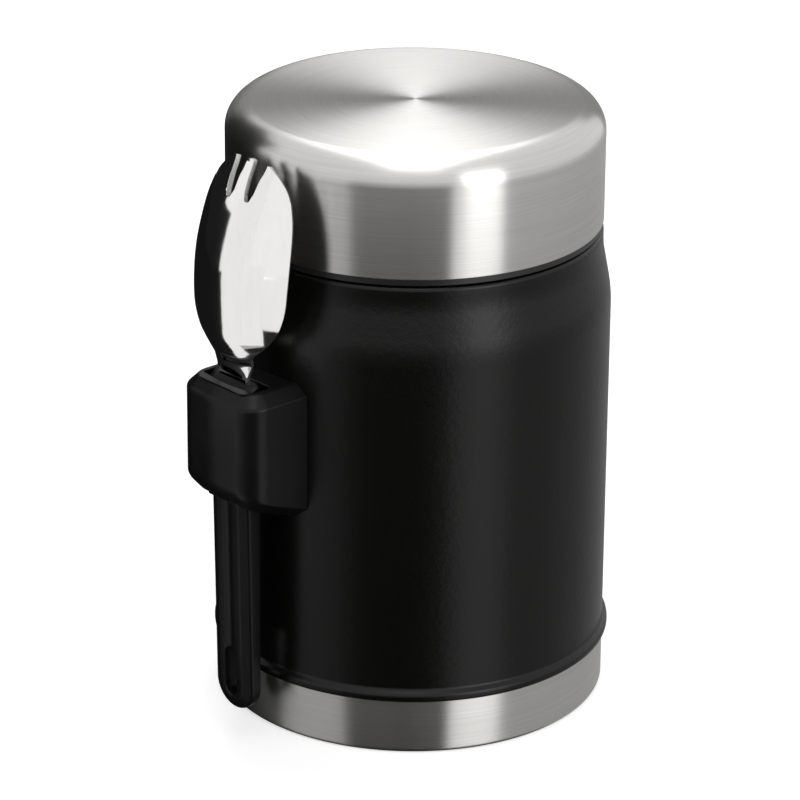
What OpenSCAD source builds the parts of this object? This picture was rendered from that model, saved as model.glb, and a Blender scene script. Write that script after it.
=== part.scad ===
// Insulated food jar with a screw lid and a spork carried in a holder on its side.
// The jar's axis is Z, the table is at z = 0 and the spork holder faces -Y.

/* [Body] */
// Outside diameter of the coated shell
body_d = 90.4; // [88:0.2:100]
// Height of the shell's top ledge above the table
body_h = 112.9; // [111:0.1:125]
// Thickness of the outer steel wall
shell_wall = 1; // [0.7:0.1:1.2]
// How far the shell above its shoulder, which the lid matches, lies inside the body
ledge_inset = 2.1; // [1.7:0.05:2.3]
// Height of the straight band above the shoulder
ledge_band_h = 4.6; // [4:0.1:6]
// Height over which the shoulder draws in
shoulder_h = 11.1; // [10:0.1:14]
// Radius where the body turns into the shoulder
shoulder_r = 34; // [20:1:40]
// Radius where the shoulder turns into the band above it
shoulder_top_r = 24; // [12:1:26]
// Height of the rolled bead at the foot of the coating
bead_h = 1.8; // [1.6:0.1:3]
// How far the bead stands out from the shell
bead_out = 1.15; // [0.6:0.05:1.6]

/* [Base] */
// Height of the bare steel band
base_band_h = 13.2; // [11:0.1:15]
// Thickness of the base cup's wall
base_wall = 0.8; // [0.6:0.05:1]
// Length of the cup's joggle inside the shell
base_lap = 4; // [3:0.1:5]
// Width of the ring that the jar stands on
foot_w = 5; // [4:0.1:7]
// Depth of the recess under the base
base_recess = 2.5; // [1.5:0.1:3.5]
// Radius of the bottom edge
base_edge_r = 1.2; // [0.8:0.1:1.6]

/* [Vessel] */
// Distance from the shell's outside to the inside of the food vessel
vessel_inset = 7.2; // [5.5:0.1:8]
// Distance from the ledge's edge to the inside of the mouth
mouth_inset = 7; // [6.8:0.05:7.3]
// Thickness of the vessel's wall
vessel_wall = 0.8; // [0.6:0.05:1]
// Height of the vessel's floor above the table
vessel_floor_z = 25; // [23:0.5:40]
// Inside radius of the vessel's bottom corner
vessel_corner_r = 8; // [5:0.5:12]
// Height of the mouth's rim above the ledge
mouth_h = 16.6; // [16:0.1:17.4]
// Thickness of the rolled rim
rim_h = 0.8; // [0.6:0.1:1.2]
// Thickness of the foil wrapped round the vessel
foil_t = 0.2; // [0.15:0.05:0.4]

/* [Neck] */
// Thickness of the threaded neck ring
neck_wall = 1.5; // [1.3:0.1:1.7]
// Gap between the neck ring's welding flange and the shell's wall
flange_gap = 0.65; // [0.4:0.05:1]
// Rise of the lid in one full turn
thread_lead = 16; // [15:0.5:18]
// Depth of the thread's ridges
thread_depth = 1.4; // [1:0.05:1.45]
// Width of a ridge at its root
thread_ridge_w = 1.6; // [1.2:0.05:1.8]

/* [Lid] */
// Height of the steel lid cap
lid_h = 27.3; // [27:0.1:32]
// Thickness of the lid cap's steel
lid_wall = 0.8; // [0.6:0.05:0.9]
// Radius of the lid's top edge
lid_edge_r = 6.4; // [4:0.1:8]
// Height of the liner's lip below the cap
lip_h = 1.4; // [1:0.1:1.8]
// How far the lip lies inside the cap's edge
lip_inset = 0.15; // [0:0.05:0.4]
// Gap between the closed lid and the ledge
lid_gap = 0.4; // [0.3:0.05:0.6]
// Thickness of the liner's deck
deck_t = 1.6; // [1.2:0.1:2]
// Depth of the plug below the mouth's rim
plug_depth = 13.5; // [11:0.1:15]
// Gap between the plug and the mouth
plug_gap = 0.9; // [0.7:0.05:1.2]
// Thickness of the plug's wall and of its cover
plug_wall = 1.8; // [1.4:0.1:2.2]
// Height of the sealing ring
gasket_h = 1.5; // [1.2:0.1:2]
// Width of the sealing ring
gasket_w = 3.7; // [3:0.1:4]

/* [Spork] */
// Height of the spork's head above its handle
head_h = 49.5; // [46:0.5:54]
// Width of the head
head_w = 31.2; // [28:0.2:34]
// Depth of the head's bowl
head_bulge = 6.1; // [4:0.1:6.5]
// How far the tips lean in towards the lid
head_lean = 7; // [5:0.1:7.5]
// Thickness of the spork's steel
sheet_t = 1.2; // [1:0.05:1.4]
// Length of the tang inside the handle
tang_len = 49.5; // [40:0.5:60]
// Width of the handle on each side of the tang
tang_side = 1.8; // [1.3:0.1:2]
// Width of the handle below the holder
handle_w = 12.6; // [12:0.1:13]
// Thickness of the handle at its top
handle_t = 5.2; // [5:0.1:5.6]
// Thickness of the handle at its foot
handle_foot_t = 3.7; // [3.4:0.1:4.5]
// Height of the handle's foot above the table
handle_foot_z = 7; // [2:0.1:12]
// Width of the bevels down the handle's front
handle_bevel_w = 2.4; // [1.8:0.1:2.8]
// Depth of those bevels
handle_bevel_d = 1.2; // [0.8:0.1:1.6]
// Width of the hanging slot
hang_w = 3.8; // [3:0.1:4]
// Length of the hanging slot
hang_len = 11.7; // [8:0.1:16]
// Height of the hanging slot above the handle's foot
hang_up = 3.8; // [3:0.1:5]
// Width of the groove down the handle
groove_w = 3.2; // [2.4:0.1:3.6]
// Depth of the groove
groove_d = 0.4; // [0.2:0.05:0.6]
// How far the handle's shoulders, inside the holder, stand out on each side
shoulder_step = 1; // [0.9:0.1:1.2]
// Height of the crown above the holder
crown_up = 1.3; // [1:0.1:2]

/* [Holder] */
// Thickness of the holder's side walls
holder_side = 4.3; // [4:0.1:5.5]
// Height of the holder
holder_h = 32.5; // [31:0.5:38]
// Height of the holder's top above the table
holder_top_z = 88; // [84:0.5:90]
// Gap between the shell and the handle
handle_gap = 6.5; // [6.2:0.1:8]
// Thickness of the holder's front wall
front_wall = 3; // [2.9:0.1:4]
// How far the holder's front bows out
front_bow = 1; // [0.6:0.1:1.6]
// Radius of the holder's front corners
holder_corner_r = 6; // [4:0.1:7]
// Width of the bevel round the holder's top
bevel_w = 2.8; // [1.5:0.1:2.8]
// Height of that bevel
bevel_h = 2.8; // [2:0.1:4]
// Angle at which the holder's underside rises to the front
foot_rise = 20; // [10:1:24]
// Width of the bevel round the holder's underside
foot_bevel_w = 3.6; // [2:0.1:4]
// Height of that bevel
foot_bevel_h = 2.7; // [1.5:0.1:3.5]
// Gap between the holder's side walls and the handle's shoulders
slot_side_gap = 1.2; // [1:0.1:1.5]
// Radius of the slot's corners
slot_corner_r = 2.5; // [1.5:0.1:2.6]
// Height of the step that the spork rests on, above the holder's foot
step_h = 6; // [5:0.1:8]
// Thickness of the bracket welded to the shell
bracket_t = 2; // [1.6:0.1:2.2]
// Width of the bracket
bracket_w = 18; // [14:0.2:20]
// Height of the bracket
bracket_h = 25; // [22:0.5:27]
// Diameter of the holder's screws
screw_d = 3; // [2.5:0.1:3.2]
// Distance between the screws
screw_pitch = 14; // [12:0.5:16]
// Height of the grip pads
grip_h = 14; // [10:0.5:18]
// Thickness of the grip pads
grip_t = 2; // [1.8:0.1:2.4]

/* [Hidden] */

// Facets of a round part, and of each corner in an outline
round_fn = 120;
corner_steps = 8;
// Clearance of pieces that are fixed together, and overrun of a cut
fit = 0.05;
over = 1;
// Clearance between pieces that move past each other
run_gap = 0.4;

body_r = body_d / 2;
ledge_r = body_r - ledge_inset;
bead_r = body_r + bead_out;
bead_top_r = 1.3;
bead_foot_r = 0.9;
vessel_r = body_r - vessel_inset;
mouth_r = ledge_r - mouth_inset;
rim_z = body_h + mouth_h;
rim_edge_r = 0.3;
shoulder_z = body_h - ledge_band_h - shoulder_h;
band_z = body_h - ledge_band_h;

neck_in_r = mouth_r + vessel_wall + fit;
neck_r = neck_in_r + neck_wall;
neck_foot_z = body_h - shell_wall - rim_h;
flange_r = ledge_r - shell_wall - flange_gap;
draw_h = 6;
draw_r = 5;

thread_starts = 4;
thread_rows = 2;
thread_pitch = thread_lead / thread_starts;
ridge_crest_share = 0.5;
ridge_arc = 84;
ridge_root = 0.6;
thread_angle = atan(thread_lead / (2 * PI * neck_r));

lip_z = body_h + lid_gap;
cap_z = lip_z + lip_h;
lid_z = cap_z + lid_h;
deck_z = rim_z + gasket_h;
liner_r = ledge_r - lid_wall - fit;
liner_bore_r = neck_r + thread_depth + run_gap;
// The neck's lowest ridge is so high that the liner's lowest one, half a pitch below, ends above the lip
thread_drop = (liner_bore_r + ridge_root) * sin(ridge_arc / 2) * sin(thread_angle);
thread_z = lip_z + thread_drop + thread_ridge_w + thread_pitch / 2;
plug_r = mouth_r - plug_gap;
plug_in_r = plug_r - plug_wall;
plug_z = rim_z - plug_depth;
plug_edge_r = 1;
plug_spigot_h = 1.4;
plug_spigot_w = 1.2;
gasket_seat_w = 0.3;
gasket_in_r = plug_r + gasket_seat_w;
gasket_edge_r = 0.4;
retainer_h = 1;
retainer_gap = 0.3;

cup_r = body_r - shell_wall - fit;
cup_lap_z = base_band_h + base_lap;
recess_slope_w = 2;
plate_t = 0.8;
plate_z = base_band_h;
plate_inset = 6.15;
plate_r = cup_r - plate_inset;
seal_hole_r = 1.2;
seal_r = 3;
seal_h = 1;
getter_r = 4.1;
getter_h = 2.6;
getter_x = 18;
clip_t = 0.4;
clip_gap_w = 2;
foil_gap = 10;

stem_back = body_r + handle_gap;
stem_front = stem_back + handle_t;
slot_back_gap = 1.2;
slot_front_gap = 0.9;
tang_w = handle_w - 2 * tang_side;
shoulder_w = handle_w + 2 * shoulder_step;
slot_w = shoulder_w + 2 * slot_side_gap;
holder_w = slot_w + 2 * holder_side;
slot_back = stem_back - slot_back_gap;
slot_front = stem_front + slot_front_gap;
holder_front = slot_front + front_wall;
holder_foot_z = holder_top_z - holder_h;
step_z = holder_foot_z + step_h;
seat_gap = 0.1;
crown_z = holder_top_z + crown_up;
crown_drop = 2.4;
crown_r = 3;
handle_lean = atan((handle_t - handle_foot_t) / (crown_z - handle_foot_z));
tang_depth = 2.6;
tang_out = stem_back + tang_depth;
neck_z = crown_z + seat_gap;
bracket_r = body_r + bracket_t;
bracket_z = holder_foot_z + (holder_h - bracket_h) / 2;
screw_head_h = 1.7;
screw_head_r = 2.9;
socket_d = 2;
socket_h = 1;
grip_w = 3.8;
// The holder's front corners in plan, and the angles from its front at which their bevels are cut
front_turn = atan(front_bow / (holder_w / 2));
corner_x = holder_w / 2 - holder_corner_r;
corner_out = holder_front - corner_x * tan(front_turn) - holder_corner_r / cos(front_turn);
bevel_steps = 3;
bevel_angles = [for (i = [0:bevel_steps]) front_turn + (90 - front_turn) * i / bevel_steps];

// Head of the spork from neck to tips: shares of head_h, head_w / 2, head_lean and head_bulge
head_rows_share = [
    [0.000, 0.30, 0.00, 0.00], [0.070, 0.40, 0.03, 0.20], [0.098, 0.43, -0.03, 0.30],
    [0.130, 0.50, -0.07, 0.39], [0.190, 0.71, -0.02, 0.59], [0.255, 0.88, 0.11, 0.77],
    [0.320, 0.96, 0.21, 0.89], [0.390, 1.00, 0.29, 0.97], [0.480, 1.01, 0.36, 1.00],
    [0.580, 1.00, 0.47, 0.98], [0.700, 0.96, 0.65, 0.90], [0.780, 0.91, 0.77, 0.82],
    [0.850, 0.83, 0.87, 0.69], [0.865, 0.80, 0.89, 0.65], [0.896, 0.74, 0.91, 0.56],
    [0.930, 0.64, 0.91, 0.43], [0.962, 0.51, 0.90, 0.25], [0.990, 0.37, 0.88, 0.10]];
// Sides of the slots between the tines, from the slot's floor to the tips, as shares of head_w / 2
tine_rows_share = [[0.135, 0.26], [0.115, 0.275], [0.105, 0.29], [0.095, 0.305],
    [0.08, 0.325], [0.07, 0.335]];
// Where the slots' sides would lie below their floor, as shares of the width there
below_slot_share = [0.15, 0.3];
// Columns across half of the head, outside the slots
head_columns = 4;
slot_row = len(head_rows_share) - len(tine_rows_share);
bulge_power = 2.2;
tine_tip_up = 0.5;

// A vector of length one
function unit(v) = v / norm(v);

// An angle brought between -180 and 180
function wrapped(a) = a > 180 ? a - 360 : a < -180 ? a + 360 : a;

// The points of a round corner at b, on the way from a to c
function round_corner(a, b, c, r) =
    r == 0 ? [b] :
    let (u = unit(a - b), w = unit(c - b), half = acos(u * w) / 2,
        centre = b + unit(u + w) * r / sin(half), reach = r / tan(half),
        s = b + u * reach - centre, e = b + w * reach - centre,
        from = atan2(s.y, s.x), turn = wrapped(atan2(e.y, e.x) - from))
    [for (i = [0:corner_steps]) let (t = from + turn * i / corner_steps) centre + r * [cos(t), sin(t)]];

// A closed outline from corners, each [x, y, radius]
function outline(corners) =
    let (n = len(corners), p = [for (c = corners) [c.x, c.y]])
    [for (i = [0:n - 1]) each round_corner(p[(i + n - 1) % n], p[i], p[(i + 1) % n], corners[i][2])];

// A piece that is turned round the jar's axis, from corners [radius, height, corner radius]
module turned(corners) {
    rotate_extrude($fn = round_fn) polygon(outline(corners));
}

// An upright block from corners in plan, between two heights
module upright(corners, z0, z1) {
    translate([0, 0, z0]) linear_extrude(z1 - z0) polygon(outline(corners));
}

// A block seen from the front, from corners [x, z, radius], between two distances out from the axis
module facing(corners, out0, out1) {
    translate([0, -out0, 0]) rotate([90, 0, 0]) linear_extrude(out1 - out0) polygon(outline(corners));
}

// A block seen from the side, from corners [distance out, z, radius], as wide as w
module sideways(corners, w) {
    mirror([0, 1, 0]) translate([-w / 2, 0, 0]) rotate([90, 0, 90])
        linear_extrude(w) polygon(outline(corners));
}

// One row of thread ridges on radius r, standing out of the wall by sign * thread_depth
module thread_row(r, z, sign) {
    root = thread_ridge_w / 2;
    crest = root * ridge_crest_share;
    foot_out = root + (root - crest) * ridge_root / thread_depth;
    for (i = [0:thread_starts - 1])
        rotate(i * 360 / thread_starts) translate([0, 0, z]) rotate([thread_angle, 0, 0])
            rotate(-ridge_arc / 2) rotate_extrude(angle = ridge_arc, $fn = round_fn)
                polygon([[r - sign * ridge_root, -foot_out], [r + sign * thread_depth, -crest],
                    [r + sign * thread_depth, crest], [r - sign * ridge_root, foot_out]]);
}

module outer_shell() {
    inner = body_r - shell_wall;
    color("#161617") turned([
        [inner, base_band_h, 0], [bead_r, base_band_h, bead_foot_r],
        [bead_r, base_band_h + bead_h, bead_top_r], [body_r, base_band_h + bead_h + bead_out, bead_out],
        [body_r, shoulder_z, shoulder_r], [ledge_r, band_z, shoulder_top_r],
        [ledge_r, body_h, shell_wall], [neck_r + fit, body_h, 0],
        [neck_r + fit, body_h - shell_wall, 0], [ledge_r - shell_wall, body_h - shell_wall, 0],
        [ledge_r - shell_wall, band_z, shoulder_top_r], [inner, shoulder_z, shoulder_r]]);
}

module base_cup() {
    inner = body_r - base_wall;
    lap_in = cup_r - base_wall;
    recess_r = body_r - base_edge_r - foot_w;
    color("#b9b6b0") turned([
        [0, base_recess, 0], [recess_r - recess_slope_w, base_recess, 0], [recess_r, 0, 0],
        [body_r, 0, base_edge_r], [body_r, base_band_h, 0], [cup_r, base_band_h, 0],
        [cup_r, cup_lap_z, 0], [lap_in, cup_lap_z, 0], [lap_in, base_band_h - base_wall, 0],
        [inner, base_band_h - base_wall, 0], [inner, base_wall, base_edge_r - base_wall],
        [recess_r, base_wall, 0],
        [recess_r - recess_slope_w, base_recess + base_wall, 0], [0, base_recess + base_wall, 0]]);
}

module vacuum_base() {
    color("#a8a8a6") turned([
        [seal_hole_r, plate_z, 0], [plate_r, plate_z, 0], [plate_r + recess_slope_w, cup_lap_z, 0],
        [cup_r, cup_lap_z, 0], [cup_r, cup_lap_z + plate_t, 0],
        [plate_r + recess_slope_w, cup_lap_z + plate_t, 0], [plate_r, plate_z + plate_t, 0],
        [seal_hole_r, plate_z + plate_t, 0]]);
}

module vacuum_seal() {
    color("#8c8c88") turned([
        [0, plate_z - seal_h, 0], [seal_r, plate_z - seal_h, seal_h / 2], [seal_r, plate_z, 0],
        [seal_hole_r - fit, plate_z, 0], [seal_hole_r - fit, plate_z + plate_t, 0],
        [0, plate_z + plate_t, 0]]);
}

module getter_clip() {
    clip_r = getter_r + fit + clip_t;
    color("#9a9a98") translate([getter_x, 0, plate_z + plate_t]) difference() {
        cylinder(r = clip_r, h = getter_h, $fn = round_fn);
        translate([0, 0, clip_t]) cylinder(r = getter_r + fit, h = getter_h, $fn = round_fn);
        for (a = [0, 90]) rotate(a) translate([-clip_r - over, -clip_gap_w / 2, clip_t])
            cube([2 * (clip_r + over), clip_gap_w, getter_h]);
    }
}

module getter_pill() {
    color("#55524e") translate([getter_x, 0, plate_z + plate_t + clip_t])
        cylinder(r = getter_r, h = getter_h, $fn = round_fn);
}

module inner_vessel() {
    out = vessel_r + vessel_wall;
    mouth_out = mouth_r + vessel_wall;
    draw_top = neck_foot_z - vessel_wall;
    draw_foot = draw_top - draw_h;
    color("#b4b4b2") turned([
        [0, vessel_floor_z - vessel_wall, 0],
        [out, vessel_floor_z - vessel_wall, vessel_corner_r + vessel_wall],
        [out, draw_foot, draw_r], [mouth_out, draw_top, draw_r],
        [mouth_out, rim_z - rim_h, 0], [neck_r, rim_z - rim_h, 0], [neck_r, rim_z, rim_edge_r],
        [mouth_r, rim_z, rim_edge_r], [mouth_r, draw_top, draw_r], [vessel_r, draw_foot, draw_r],
        [vessel_r, vessel_floor_z, vessel_corner_r], [0, vessel_floor_z, 0]]);
}

module heat_foil() {
    wrap_r = vessel_r + vessel_wall + fit;
    foot = vessel_floor_z + foil_gap;
    top = neck_foot_z - draw_h - foil_gap;
    color("#c08a5a") turned([
        [wrap_r, foot, 0], [wrap_r + foil_t, foot, 0], [wrap_r + foil_t, top, 0], [wrap_r, top, 0]]);
}

module neck_ring() {
    top = rim_z - rim_h;
    color("#b4b4b2") union() {
        turned([
            [neck_in_r, neck_foot_z, 0], [flange_r, neck_foot_z, 0],
            [flange_r, body_h - shell_wall, 0], [neck_r, body_h - shell_wall, 0],
            [neck_r, top, 0], [neck_in_r, top, 0]]);
        for (i = [0:thread_rows - 1]) thread_row(neck_r, thread_z + i * thread_pitch, 1);
    }
}

module lid_gasket() {
    out = gasket_in_r + gasket_w;
    color("#8f8f8f") turned([
        [gasket_in_r, rim_z, gasket_edge_r], [out, rim_z, gasket_edge_r],
        [out, deck_z, gasket_edge_r], [gasket_in_r, deck_z, gasket_edge_r]]);
}

module lid_shell() {
    color("#bdbab5") turned([
        [ledge_r - lid_wall, cap_z, 0], [ledge_r, cap_z, 0], [ledge_r, lid_z, lid_edge_r],
        [0, lid_z, 0], [0, lid_z - lid_wall, 0],
        [ledge_r - lid_wall, lid_z - lid_wall, lid_edge_r - lid_wall]]);
}

module lid_liner() {
    retainer_r = mouth_r - retainer_gap;
    retainer_z = rim_z - retainer_gap - retainer_h;
    color("#202020") union() {
        turned([
            [liner_bore_r, lip_z, 0], [ledge_r - lip_inset, lip_z, lip_inset],
            [ledge_r - lip_inset, cap_z, 0], [liner_r, cap_z, 0], [liner_r, deck_z + deck_t, 0],
            [plug_in_r, deck_z + deck_t, 0], [plug_in_r, plug_z + plug_wall, 0],
            [plug_r, plug_z + plug_wall, 0], [plug_r, retainer_z, 0],
            [retainer_r, retainer_z + retainer_h / 2, 0], [retainer_r, retainer_z + retainer_h, 0],
            [plug_r, retainer_z + retainer_h, 0], [plug_r, deck_z, 0], [liner_bore_r, deck_z, 0]]);
        for (i = [0:thread_rows - 1])
            thread_row(liner_bore_r, thread_z + (i - 1 / 2) * thread_pitch, -1);
    }
}

module lid_foam() {
    foot = plug_z + plug_wall + fit;
    deck = deck_z + deck_t + fit;
    spigot_r = plug_in_r - fit - plug_spigot_w;
    color("#e4dcc0") turned([
        [0, foot, 0], [spigot_r - fit, foot, 0], [spigot_r - fit, foot + plug_spigot_h, 0],
        [plug_in_r - fit, foot + plug_spigot_h, 0], [plug_in_r - fit, deck, 0], [liner_r, deck, 0],
        [liner_r, lid_z - lid_wall - fit, lid_edge_r - lid_wall], [0, lid_z - lid_wall - fit, 0]]);
}

module plug_cover() {
    seat = plug_z + plug_wall;
    spigot_out = plug_in_r - fit;
    color("#2c2c2e") turned([
        [0, plug_z, 0], [plug_r, plug_z, plug_edge_r], [plug_r, seat, 0], [spigot_out, seat, 0],
        [spigot_out, seat + plug_spigot_h, 0], [spigot_out - plug_spigot_w, seat + plug_spigot_h, 0],
        [spigot_out - plug_spigot_w, seat, 0], [0, seat, 0]]);
}

// Places what follows at each screw, pointing out of the jar
module at_screws() {
    for (side = [-1, 1])
        translate([0, 0, bracket_z + bracket_h / 2 + side * screw_pitch / 2]) rotate([90, 0, 0]) children();
}

// The space between two radii, as wide and as high as the bracket
module bracket_space(r0, r1, gap) {
    intersection() {
        translate([0, 0, bracket_z - gap]) difference() {
            cylinder(r = r1, h = bracket_h + 2 * gap, $fn = round_fn);
            translate([0, 0, -over]) cylinder(r = r0, h = bracket_h + 2 * (gap + over), $fn = round_fn);
        }
        translate([-bracket_w / 2 - gap, -r1 - over, bracket_z - gap])
            cube([bracket_w + 2 * gap, r1 + over, bracket_h + 2 * gap]);
    }
}

module holder_bracket() {
    color("#8d8d8b") difference() {
        bracket_space(body_r + fit, bracket_r, 0);
        at_screws() cylinder(d = screw_d + 2 * fit, h = bracket_r + over, $fn = round_fn);
    }
}

module holder_screws() {
    head_foot = slot_back - screw_head_h - seat_gap;
    color("#77777a") at_screws() difference() {
        union() {
            translate([0, 0, body_r + 3 * fit])
                cylinder(d = screw_d, h = head_foot - body_r - 2 * fit, $fn = round_fn);
            translate([0, 0, head_foot])
                cylinder(r1 = screw_d / 2, r2 = screw_head_r, h = screw_head_h, $fn = round_fn);
        }
        translate([0, 0, slot_back - seat_gap - socket_h])
            cylinder(d = socket_d, h = over + socket_h, $fn = 6);
    }
}

// The slot of the holder in plan, w wide, between two distances out
module slot(w, out0, out1, z0, z1) {
    upright([[-w / 2, -out0, slot_corner_r / 2], [w / 2, -out0, slot_corner_r / 2],
        [w / 2, -out1, slot_corner_r], [-w / 2, -out1, slot_corner_r]], z0, z1);
}

// The pads' places in the slot's side walls, grown by a gap
module grip_spaces(gap) {
    out = (slot_back + slot_front) / 2;
    inner = shoulder_w / 2 + seat_gap;
    for (side = [-1, 1])
        translate([side * (inner + grip_t / 2), -out, (step_z + holder_top_z - bevel_h) / 2])
            cube([grip_t + 2 * gap, grip_w + 2 * gap, grip_h + 2 * gap], center = true);
}

// The space under a level top at z = 0 whose bevel, w wide and h high, follows the holder's sides and front
module under_bevel(out, w, h) {
    deep = 2 * holder_h;
    intersection_for(a = [for (t = bevel_angles, side = [-1, 1]) side * t]) {
        reach = holder_corner_r + out * cos(a) + corner_x * abs(sin(a));
        rotate(a) sideways([[-reach - w, 0, 0], [reach - w, 0, 0], [reach - w + deep * w / h, -deep, 0],
            [-reach - w, -deep, 0]], 3 * holder_front);
    }
}

module spork_holder() {
    half = holder_w / 2;
    low_w = handle_w + 2 * run_gap;
    color("#1b1b1c") difference() {
        intersection() {
            upright([[-half, 0, 0], [half, 0, 0], [half, front_bow - holder_front, holder_corner_r],
                [0, -holder_front, holder_w], [-half, front_bow - holder_front, holder_corner_r]],
                holder_foot_z, holder_top_z);
            translate([0, 0, holder_top_z]) under_bevel(corner_out, bevel_w, bevel_h);
            translate([0, -body_r, holder_foot_z]) rotate([-foot_rise, 0, 0]) mirror([0, 0, 1])
                translate([0, body_r, 0])
                    under_bevel(body_r + (corner_out - body_r) / cos(foot_rise), foot_bevel_w, foot_bevel_h);
        }
        translate([0, 0, holder_foot_z - over])
            cylinder(r = body_r + 2 * fit, h = holder_h + 2 * over, $fn = round_fn);
        bracket_space(body_r - over, bracket_r + fit, fit);
        slot(slot_w, slot_back, slot_front, step_z, holder_top_z + over);
        slot(low_w, stem_back - run_gap, stem_front + run_gap, holder_foot_z - over, step_z + over);
        at_screws() cylinder(d = screw_d + 4 * fit, h = slot_back, $fn = round_fn);
        at_screws() translate([0, 0, slot_back - screw_head_h - seat_gap - fit])
            cylinder(r1 = screw_d / 2 + fit, r2 = screw_head_r + 2 * fit,
                h = screw_head_h + seat_gap + 2 * fit, $fn = round_fn);
        grip_spaces(fit);
    }
}

module holder_grips() {
    color("#2f2f31") grip_spaces(0);
}

// Leans what follows in towards the jar, from the handle's front edge at the crown
module leaned() {
    translate([0, -stem_front, crown_z]) rotate([handle_lean, 0, 0])
        translate([0, stem_front, -crown_z]) children();
}

// The handle's section in plan, w wide, from its front back to a distance out
module handle_section(w, out, z0, z1) {
    half = w / 2;
    flat = half - handle_bevel_w;
    upright([[-half, -out, 0], [half, -out, 0], [half, handle_bevel_d - stem_front, handle_bevel_d / 2],
        [flat, -stem_front, handle_bevel_d], [-flat, -stem_front, handle_bevel_d],
        [-half, handle_bevel_d - stem_front, handle_bevel_d / 2]], z0, z1);
}

module spork_handle() {
    half = handle_w / 2;
    broad = shoulder_w / 2;
    groove_r = (groove_w * groove_w / 4 + groove_d * groove_d) / (2 * groove_d);
    groove_foot_z = handle_foot_z + hang_up + hang_len / 2;
    color("#1a1a1b") difference() {
        union() {
            intersection() {
                facing([[-half, handle_foot_z, half - fit], [half, handle_foot_z, half - fit],
                    [half, step_z + fit, 0], [-half, step_z + fit, 0]], stem_back, stem_front + over);
                leaned() handle_section(handle_w, stem_back - handle_t, 0, crown_z);
            }
            intersection() {
                facing([[-broad, step_z, 0], [broad, step_z, 0], [broad, crown_z, crown_r],
                    [-broad, crown_z, crown_r]], stem_back, stem_front + over);
                handle_section(shoulder_w, stem_back - over, step_z, crown_z + over);
                sideways([[stem_back, step_z, 0], [stem_front, step_z, 0],
                    [stem_front, crown_z - crown_drop, crown_r / 2],
                    [tang_out, crown_z, crown_r / 2], [stem_back, crown_z, crown_r / 3]],
                    shoulder_w + 2 * over);
            }
        }
        translate([-tang_w / 2 - fit, -tang_out - fit, neck_z - tang_len - fit])
            cube([tang_w + 2 * fit, sheet_t + 2 * fit, tang_len + over]);
        facing([for (c = [[-1, 0], [1, 0], [1, 1], [-1, 1]])
            [c.x * hang_w / 2, handle_foot_z + hang_up + c.y * hang_len, hang_w / 2 - fit]],
            stem_back - over, stem_front + over);
        leaned() translate([0, groove_d - stem_front - groove_r, groove_foot_z])
            cylinder(r = groove_r, h = step_z - seat_gap - groove_foot_z, $fn = round_fn);
    }
}

// Half width, lean, bulge and height of one row of the spork's sheet, the tang's rows first
function row_form(k) =
    k < 0 ? [tang_w / 2, 0, 0, neck_z - (k == -1 ? crown_up : tang_len)] :
    let (s = head_rows_share[k])
    [k == 0 ? tang_w / 2 : s[1] * head_w / 2, s[2] * head_lean, s[3] * head_bulge, neck_z + s[0] * head_h];

// The distances of a row's columns from the middle
function row_columns(k) =
    let (half = row_form(k)[0],
        sides = k < slot_row ? below_slot_share * half : tine_rows_share[k - slot_row] * head_w / 2)
    concat([0], sides, [for (i = [1:head_columns]) sides[1] + (half - sides[1]) * i / head_columns]);

// One point of the sheet: the row, the column counted from the middle, and how far in from the outer face
function sheet_point(k, j, depth) =
    let (form = row_form(k), u = row_columns(k)[abs(j)], tip = k == len(head_rows_share) - 1 && abs(j) < 2,
        out = tang_out - form[1] + form[2] * (1 - pow(u / form[0], bulge_power)))
    [sign(j) * u, depth - out, form[3] + (tip ? tine_tip_up : 0)];

// Whether a cell of the sheet is steel, and not a slot or the outside
function steel(k, j) =
    k >= -2 && k < len(head_rows_share) - 1 && abs(j + 0.5) < head_columns + 2
    && !(k >= slot_row && abs(j + 0.5) == 1.5);

module spork_head() {
    m = head_columns + 2;
    wide = 2 * m + 1;
    rows = [for (k = [-2:len(head_rows_share) - 1]) k];
    count = len(rows) * wide;
    points = [for (depth = [0, sheet_t]) for (k = rows) for (j = [-m:m]) sheet_point(k, j, depth)];
    cells = [for (k = rows) for (j = [-m:m - 1]) if (steel(k, j)) [k, j]];
    // Index of the outer face's point at row k and column j
    function at(k, j) = (k + 2) * wide + j + m;
    function quad(a, b, c, d) = [[a, b, c], [a, c, d]];
    faces = [for (c = cells) let (k = c[0], j = c[1],
            a = at(k, j), b = at(k, j + 1), d = at(k + 1, j), e = at(k + 1, j + 1))
        each concat(quad(a, d, e, b), quad(a + count, b + count, e + count, d + count),
            steel(k - 1, j) ? [] : quad(a, b, b + count, a + count),
            steel(k + 1, j) ? [] : quad(e, d, d + count, e + count),
            steel(k, j - 1) ? [] : quad(d, a, a + count, d + count),
            steel(k, j + 1) ? [] : quad(b, e, e + count, b + count))];
    color("#d6d6d6") polyhedron(points, faces);
}

outer_shell();
base_cup();
vacuum_base();
vacuum_seal();
getter_clip();
getter_pill();
inner_vessel();
heat_foil();
neck_ring();
lid_gasket();
lid_shell();
lid_liner();
lid_foam();
plug_cover();
holder_bracket();
holder_screws();
spork_holder();
holder_grips();
spork_handle();
spork_head();
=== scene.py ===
"""The looks of an insulated food jar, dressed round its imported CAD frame.

Meshes are worked out in millimetres and made in metres. The jar's axis is Z, the table is at
z = 0, and the spork's holder faces -Y.
"""

import math

import bmesh
import bpy
from mathutils import Matrix, Vector


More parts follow.
